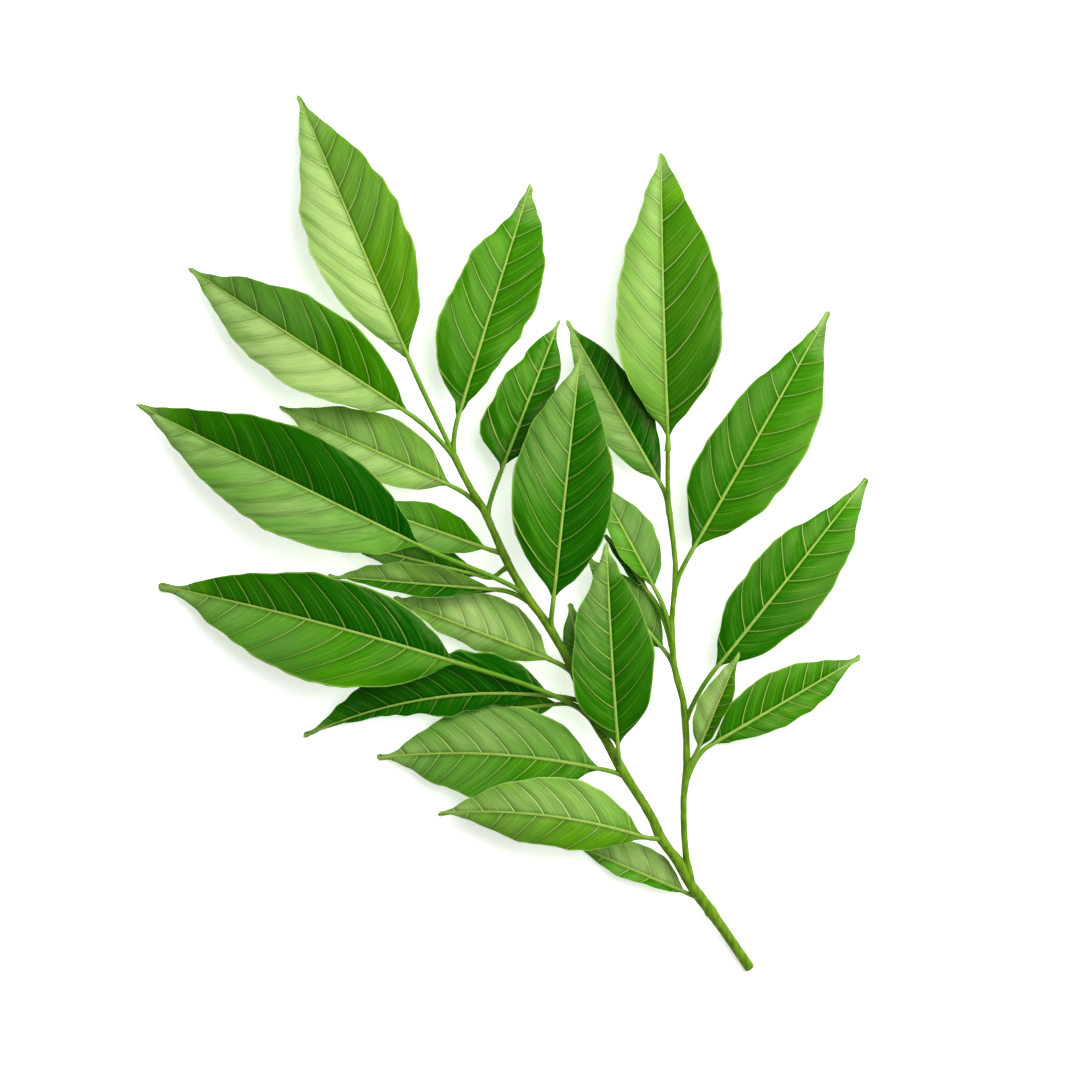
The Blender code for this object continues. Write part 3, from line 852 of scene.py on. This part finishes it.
def leaf_skin(name, skin):
    """Living curry leaf: waxy green skin with pale veins. Satin, so it shows broad soft shine."""
    material = bpy.data.materials.new(name)
    material.use_nodes = True
    tree = material.node_tree
    shader = tree.nodes["Principled BSDF"]
    leaf, veins, look, share, underside = (
        add(tree, "ShaderNodeAttribute", attribute_name=field)
        for field in ("leaf", "veins", "look", "share", "underside")
    )
    place = leaf.outputs["Vector"]
    share, underside = share.outputs["Fac"], underside.outputs["Fac"]
    beside, fine, crease = add(tree, "ShaderNodeSeparateXYZ", [veins.outputs["Vector"]]).outputs
    tone, marks, run = add(tree, "ShaderNodeSeparateXYZ", [look.outputs["Vector"]]).outputs
    start, from_rib, _ = add(tree, "ShaderNodeSeparateXYZ", [place]).outputs
    from_rib = add(tree, "ShaderNodeMath", [from_rib], operation="ABSOLUTE")

    # Broad cloudiness, one patch about 6 mm, and fibres of a quarter of a millimetre along the veins.
    cloud = add(
        tree, "ShaderNodeTexNoise", {"Vector": place, "Scale": 1 / CLOUD_SIZE, "Detail": 2.0}
    ).outputs["Fac"]
    fibre_place = add(tree, "ShaderNodeVectorMath", [place, FIBRE_STRETCH], operation="MULTIPLY")
    fibres = add(
        tree, "ShaderNodeTexNoise", {"Vector": fibre_place, "Scale": 1 / FIBRE_SIZE, "Detail": 2.0}
    ).outputs["Fac"]
    patch = add(tree, "ShaderNodeMapRange", [cloud, 0.3, 0.7, 0.0, 1.0])
    green = add(
        tree, "ShaderNodeMix", {0: patch, 6: linear(skin.deep), 7: linear(skin.fresh)}, data_type="RGBA"
    ).outputs[2]

    # A half's tone paints light: above zero a pale painted sheen, below zero a deep painted shade.
    # Every blade is given painted shade near its base and is paler towards its tip, and its veins
    # are fainter near the base. The painted sheen is streaked and patchy, and it is a painted
    # highlight thickest two fifths of the way along and a third of the way out.
    base_to_tip = add(tree, "ShaderNodeMapRange", [run, 0.0, 1.0, BASE_TONE, TIP_TONE])
    tone = add(tree, "ShaderNodeMath", [tone, base_to_tip], operation="ADD")
    tip = add(tree, "ShaderNodeMapRange", [run, 0.8, 0.95, 0.0, 1.0])
    plain = add(tree, "ShaderNodeMapRange", [run, 0.05, 0.2, 0.3, 1.0])
    marks = add(tree, "ShaderNodeMath", [plain, marks], operation="MULTIPLY").outputs[0]
    tone = add(tree, "ShaderNodeMix", {0: tip, 2: tone, 3: TIP_PALENESS})
    streak = add(tree, "ShaderNodeMapRange", [fibres, 0.25, 0.75, 0.87, 1.13])
    patchy = add(tree, "ShaderNodeMapRange", [cloud, 0.3, 0.7, 1.35, 0.65])
    painted_sheen = add(tree, "ShaderNodeMath", [tone, streak], operation="MULTIPLY")
    painted_sheen = add(tree, "ShaderNodeMath", [painted_sheen, patchy], operation="MULTIPLY")
    # Painted highlight: the sheen is painted thickest two fifths of the way along and a third of the way
    # out.
    along_hump = draw(
        add(tree, "ShaderNodeFloatCurve", {"Value": run}),
        [(0.0, 0.5), (0.4, 1.0), (0.75, 0.65), (1.0, 0.7)],
    )
    across_hump = draw(
        add(tree, "ShaderNodeFloatCurve", {"Value": share}),
        [(0.0, 0.8), (0.35, 1.0), (0.75, 0.75), (1.0, 0.6)],
    )
    hump = add(tree, "ShaderNodeMath", [along_hump, across_hump], operation="MULTIPLY")
    hump = add(tree, "ShaderNodeMath", [hump, 1.5], operation="MULTIPLY")
    painted_sheen = add(tree, "ShaderNodeMath", [painted_sheen, hump], operation="MULTIPLY", use_clamp=True)
    # Painted sheen: the pale green is mixed in where the tone is above zero.
    green = add(
        tree, "ShaderNodeMix", {0: painted_sheen, 6: green, 7: linear(SHEEN_GREEN)}, data_type="RGBA"
    ).outputs[2]
    # Painted shade: the deep green is mixed in where the tone is below zero.
    painted_shade = add(tree, "ShaderNodeMath", [tone, -1.0], operation="MULTIPLY", use_clamp=True)
    green = add(
        tree, "ShaderNodeMix", {0: painted_shade, 6: green, 7: linear(SHADE_GREEN)}, data_type="RGBA"
    ).outputs[2]
    speckle = add(tree, "ShaderNodeMapRange", [fibres, 0.25, 0.75, 0.9, 1.1])
    # Painted shade beside each side vein and a painted highlight midway between two, as if the quilting
    # were lit.
    pillow = add(tree, "ShaderNodeMapRange", [beside, 0.1, 1.4, 0.82, 1.08])
    shade = add(tree, "ShaderNodeMath", [pillow, speckle], operation="MULTIPLY")
    # Painted shade in each vein's crease, on the side towards the stalk.
    crease = add(tree, "ShaderNodeMath", [crease, marks], operation="MULTIPLY")
    crease_shade = add(tree, "ShaderNodeMath", [crease, -0.45, 1.0], operation="MULTIPLY_ADD")
    shade = add(tree, "ShaderNodeMath", [shade, crease_shade], operation="MULTIPLY")
    # Painted shade along both sides of the midrib, fading out near the tip.
    rib_shade = add(tree, "ShaderNodeMapRange", [run, 0.75, 0.92, 0.72, 1.0])
    by_rib = add(tree, "ShaderNodeMapRange", [from_rib, 0.35, 0.75, rib_shade, 1.0])
    shade = add(tree, "ShaderNodeMath", [shade, by_rib], operation="MULTIPLY")
    green = add(
        tree, "ShaderNodeMix", {0: 1.0, 6: green, 7: shade}, data_type="RGBA", blend_type="MULTIPLY"
    ).outputs[2]

    # Side veins: pale lines a quarter of a millimetre wide that thin out to the margin, with a
    # finer one midway between each two, and hair lines a millimetre apart that soon fade.
    width = add(tree, "ShaderNodeMapRange", [share, 0.0, 1.0, 0.15, 0.07])
    vein = add(tree, "ShaderNodeMapRange", {0: beside, 1: width, 2: 0.02, 3: 0.0, 4: marks})
    fine_line = add(tree, "ShaderNodeMapRange", [fine, 0.12, 0.02, 0.0, 0.22])
    hair = add(tree, "ShaderNodeMath", [start, HAIR_HALF_GAP], operation="PINGPONG")
    hair = add(tree, "ShaderNodeMapRange", [hair, 0.09, 0.02, 0.0, 0.08])
    fine_line = add(tree, "ShaderNodeMath", [fine_line, hair], operation="MAXIMUM")
    fine_here = add(tree, "ShaderNodeMapRange", [share, 0.5, 0.85, 1.0, 0.0])
    fine_line = add(tree, "ShaderNodeMath", [fine_line, fine_here], operation="MULTIPLY")
    lines = add(tree, "ShaderNodeMath", [vein, fine_line], operation="MAXIMUM")
    rim = add(tree, "ShaderNodeMapRange", [share, 0.955, 0.99, 0.0, 0.6])
    lines = add(tree, "ShaderNodeMath", [lines, rim], operation="MAXIMUM")
    colour = add(
        tree, "ShaderNodeMix", {0: lines, 6: green, 7: linear(skin.vein)}, data_type="RGBA"
    ).outputs[2]
    under = add(tree, "ShaderNodeMath", [underside, 0.5], operation="GREATER_THAN")
    under_share = add(tree, "ShaderNodeMath", [under, UNDER_SHARE], operation="MULTIPLY")
    colour = add(
        tree, "ShaderNodeMix", {0: under_share, 6: colour, 7: linear(UNDERSIDE)}, data_type="RGBA"
    ).outputs[2]
    tree.links.new(colour, shader.inputs["Base Color"])

    rough = add(tree, "ShaderNodeMapRange", [fibres, 0.2, 0.8, 0.26, 0.4])
    rough = add(tree, "ShaderNodeMath", [under, 0.2, rough], operation="MULTIPLY_ADD")
    tree.links.new(rough.outputs[0], shader.inputs["Roughness"])

    # Relief too fine for the mesh: the finer veins, the fibres, and a net of veins with 0.9 mm meshes.
    net = add(
        tree, "ShaderNodeTexVoronoi", {"Vector": place, "Scale": 1 / NET_SIZE}, feature="DISTANCE_TO_EDGE"
    )
    net_line = add(tree, "ShaderNodeMapRange", [net.outputs["Distance"], 0.0, 0.2, 0.0, 0.6])
    relief = add(tree, "ShaderNodeMath", [fine_line, 1.5, net_line], operation="MULTIPLY_ADD")
    relief = add(tree, "ShaderNodeMath", [fibres, 1.2, relief], operation="MULTIPLY_ADD")
    bump = add(tree, "ShaderNodeBump", {"Strength": 0.5, "Distance": 0.03 * MM, "Height": relief})
    tree.links.new(bump.outputs[0], shader.inputs["Normal"])
    shine_like_wax(shader, 0.2)
    return material


def rib_skin(name, hue_stalk, hue_rib):
    """Midrib and stalk: smooth pale green, a little glossy, greener on the stalk than on the blade."""
    material = bpy.data.materials.new(name)
    material.use_nodes = True
    tree = material.node_tree
    shader = tree.nodes["Principled BSDF"]
    leaf = add(tree, "ShaderNodeAttribute", attribute_name="leaf")
    parts = add(tree, "ShaderNodeSeparateXYZ", [leaf.outputs["Vector"]])
    on_blade = add(tree, "ShaderNodeMapRange", [parts.outputs[0], -3.0, 4.0, 0.0, 1.0])
    colour = add(
        tree, "ShaderNodeMix", {0: on_blade, 6: linear(hue_stalk), 7: linear(hue_rib)}, data_type="RGBA"
    ).outputs[2]
    objects = add(tree, "ShaderNodeTexCoord").outputs["Object"]
    grain = add(tree, "ShaderNodeTexNoise", {"Vector": objects, "Scale": 1 / (1.2 * MM), "Detail": 2.0})
    shade = add(tree, "ShaderNodeMapRange", [grain.outputs["Fac"], 0.3, 0.7, 0.9, 1.08])
    colour = add(
        tree, "ShaderNodeMix", {0: 1.0, 6: colour, 7: shade}, data_type="RGBA", blend_type="MULTIPLY"
    ).outputs[2]
    tree.links.new(colour, shader.inputs["Base Color"])
    shader.inputs["Roughness"].default_value = 0.45
    shine_like_wax(shader, 0.22)
    return material


skins = {
    slot: leaf_skin(f"curry leaf skin, {slot.split('_')[0]}", skin) for slot, skin in SKINS.items()
}
ribs = rib_skin("leaf midrib", "#5a8a1e", "#8bac48")
print("leaf materials:", len(skins) + 1)

# %% [markdown]
# ## Growing the leaflets
#
# Every leaflet goes through the same tree with its own habit. The finished mesh is taken from
# the evaluated object, the modifier is removed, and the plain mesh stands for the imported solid.

# %% Run a tree and keep its mesh
def grow(piece, tree, settings):
    """Runs a tree on a piece with the given inputs, and keeps the result as the piece's own mesh."""
    bpy.context.scene.collection.objects.link(piece)
    modifier = piece.modifiers.new(tree.name, "NODES")
    modifier.node_group = tree
    for item in tree.interface.items_tree:
        if item.in_out == "INPUT" and item.name in settings:
            modifier[item.identifier] = settings[item.name]
    graph = bpy.context.evaluated_depsgraph_get()
    mesh = bpy.data.meshes.new_from_object(
        piece.evaluated_get(graph), preserve_all_data_layers=True, depsgraph=graph
    )
    piece.modifiers.remove(modifier)
    piece.data = mesh
    return piece


def stand_for(piece, node):
    """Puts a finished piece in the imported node's place."""
    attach(piece, "root")
    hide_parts(node)


slots = {part["node"]: part["material_slot"] for part in frame["record"]["subparts"]}

# %% Grow every leaflet
WAVE_SEED_STEP = 17.0

triangles = 0
for name, sheet in leaflets.items():
    habit = habits[name]
    piece = bpy.data.objects.new(f"grown_{name}", leaf_mesh(name, sheet, habit))
    grow(
        piece,
        leaf_tree,
        {
            "Left Quilting": habit.quilt[0],
            "Right Quilting": habit.quilt[1],
            "Ruffle": habit.ruffle,
            "Scallop": habit.scallop,
            "Seed": habit.seed * WAVE_SEED_STEP,
            "Blade": skins[slots[name]],
            "Midrib": ribs,
        },
    )
    stand_for(piece, name)
    triangles += sum(len(p.vertices) - 2 for p in piece.data.polygons)
print("triangles in the leaflets:", triangles)

# %% [markdown]
# ## The stems
#
# Each stem is a tube along its axis, swollen at every joint, with a leaf scar near the cut end of
# the main one. A row of short cylinders would show a seam at each bend, so one round section
# follows the whole axis, as thick as the radius measured there. The bark is young: still green,
# slightly knobbly and streaked along its length.

# %% Build the stem tree
STEM_INPUTS = {"Knobbliness": 0.03, "Seed": 3.0}
STEM_SIDES = 24


def stem_tree():
    tree = new_tree("stem tree", STEM_INPUTS, ("Bark",))
    given = add(tree, "NodeGroupInput").outputs
    girth = add(tree, "GeometryNodeInputNamedAttribute", {"Name": "girth"}, data_type="FLOAT")
    path = add(tree, "GeometryNodeMeshToCurve", {"Mesh": given["Geometry"]})
    section = add(
        tree, "GeometryNodeCurvePrimitiveCircle", {"Resolution": STEM_SIDES, "Radius": 1.0}
    )
    tube = add(
        tree,
        "GeometryNodeCurveToMesh",
        {"Curve": path, "Profile Curve": section, "Scale": girth, "Fill Caps": True},
    )
    place = add(tree, "GeometryNodeInputPosition")
    spot = add(tree, "ShaderNodeVectorMath", {0: place, "Scale": 1 / MM}, operation="SCALE")
    noise = add(
        tree,
        "ShaderNodeTexNoise",
        {"Vector": spot, "W": given["Seed"], "Scale": 0.9, "Detail": 2.0},
        noise_dimensions="4D",
    )
    bumpy = add(tree, "ShaderNodeMath", [noise, 0.5], operation="SUBTRACT")
    bumpy = add(tree, "ShaderNodeMath", [bumpy, given["Knobbliness"]], operation="MULTIPLY")
    bumpy = add(tree, "ShaderNodeMath", [bumpy, NOISE_SWING * MM], operation="MULTIPLY")
    normal = add(tree, "GeometryNodeInputNormal")
    lift = add(tree, "ShaderNodeVectorMath", {0: normal, "Scale": bumpy}, operation="SCALE")
    rough_tube = add(tree, "GeometryNodeSetPosition", {"Geometry": tube, "Offset": lift})
    smooth = add(tree, "GeometryNodeSetShadeSmooth", {"Geometry": rough_tube})
    real = add(tree, "GeometryNodeRealizeInstances", [smooth])
    dressed = add(tree, "GeometryNodeSetMaterial", {"Geometry": real, "Material": given["Bark"]})
    add(tree, "NodeGroupOutput", [dressed])
    return tree


bark_tree = stem_tree()
print("nodes in the stem tree:", len(bark_tree.nodes))

# %% Stem bark material
BARK_DEEP = "#48700c"
BARK_PALE = "#6c9020"


def young_bark(name):
    """Young green bark: smooth and satin, with fine streaks of a paler green."""
    material = bpy.data.materials.new(name)
    material.use_nodes = True
    tree = material.node_tree
    shader = tree.nodes["Principled BSDF"]
    objects = add(tree, "ShaderNodeTexCoord").outputs["Object"]
    streak_place = add(tree, "ShaderNodeMapping", {"Vector": objects, "Scale": (1.0, 0.2, 1.0)})
    streak = add(
        tree, "ShaderNodeTexNoise", {"Vector": streak_place, "Scale": 1 / (0.5 * MM), "Detail": 3.0}
    )
    tone = add(tree, "ShaderNodeMapRange", [streak.outputs["Fac"], 0.35, 0.65, 0.0, 1.0])
    colour = add(
        tree, "ShaderNodeMix", {0: tone, 6: linear(BARK_DEEP), 7: linear(BARK_PALE)}, data_type="RGBA"
    ).outputs[2]
    tree.links.new(colour, shader.inputs["Base Color"])
    bump = add(
        tree,
        "ShaderNodeBump",
        {"Strength": 0.4, "Distance": 0.05 * MM, "Height": streak.outputs["Fac"]},
    )
    tree.links.new(bump.outputs[0], shader.inputs["Normal"])
    shader.inputs["Roughness"].default_value = 0.5
    shine_like_wax(shader, 0.22)
    return material


bark = young_bark("young green bark")
print("stem material:", bark.name)

# %% Grow both stems
# Lengths are in mm. FORK_SWELLING and END_ROUND are shares of the stem's radius.
STEM_STEP = 0.3
SCAR_AT = 10.6
SCAR_HEIGHT = 0.13
SCAR_HALF_WIDTH = 0.3
FORK_REACH = 4.0
FORK_STEP = 0.1
FORK_SWELLING = (1.25, 1.18)
TIP_RADIUS = 0.37
TIP_TAPER = 2.0
END_ROUND = (0.35, 0.8)
END_STEP = 0.12


def stem_line(name):
    """A stem's axis with a radius at each point, finished at both ends."""
    axis, radii = axes[name]
    if name == "side_stem":
        back = unit(axis[0] - axis[3])
        reach = np.arange(0, FORK_REACH, FORK_STEP)[:, None] * MM
        parent = axes["main_stem"][0]
        crotch = min(axis[0] + back * reach, key=lambda p: np.linalg.norm(parent - p, axis=1).min())
        start, _ = leave_stem(crotch, ["main_stem"])
        axis = np.vstack([start, (start + axis[0]) / 2, axis])
        radii = np.concatenate([radii[0] * np.array(FORK_SWELLING), radii])
    at = distances(axis)
    fine = np.linspace(0, at[-1], round(at[-1] / STEM_STEP))
    points = through(at, axis, fine)
    girth = through(at, radii, fine)
    taper = ease((at[-1] - fine) / TIP_TAPER)
    girth = TIP_RADIUS * MM * (1 - taper) + girth * taper
    if name == "main_stem":
        girth = girth + SCAR_HEIGHT * MM * np.exp(-(((fine - SCAR_AT) / SCAR_HALF_WIDTH) ** 2))
        run = unit(points[0] - points[1])
        cap = [points[0] + run * (END_STEP * MM) * step for step in (2, 1)]
        points = np.vstack([cap, points])
        girth = np.concatenate([girth[0] * np.array(END_ROUND), girth])
    return points, girth


for name in axes:
    points, girth = stem_line(name)
    mesh = bpy.data.meshes.new(name)
    mesh.from_pydata(points.tolist(), [(i, i + 1) for i in range(len(points) - 1)], [])
    mesh.attributes.new("girth", "FLOAT", "POINT").data.foreach_set("value", girth.astype(np.float32))
    piece = grow(bpy.data.objects.new(f"grown_{name}", mesh), bark_tree, {"Bark": bark})
    stand_for(piece, name)
    print(name, "faces:", len(piece.data.polygons))
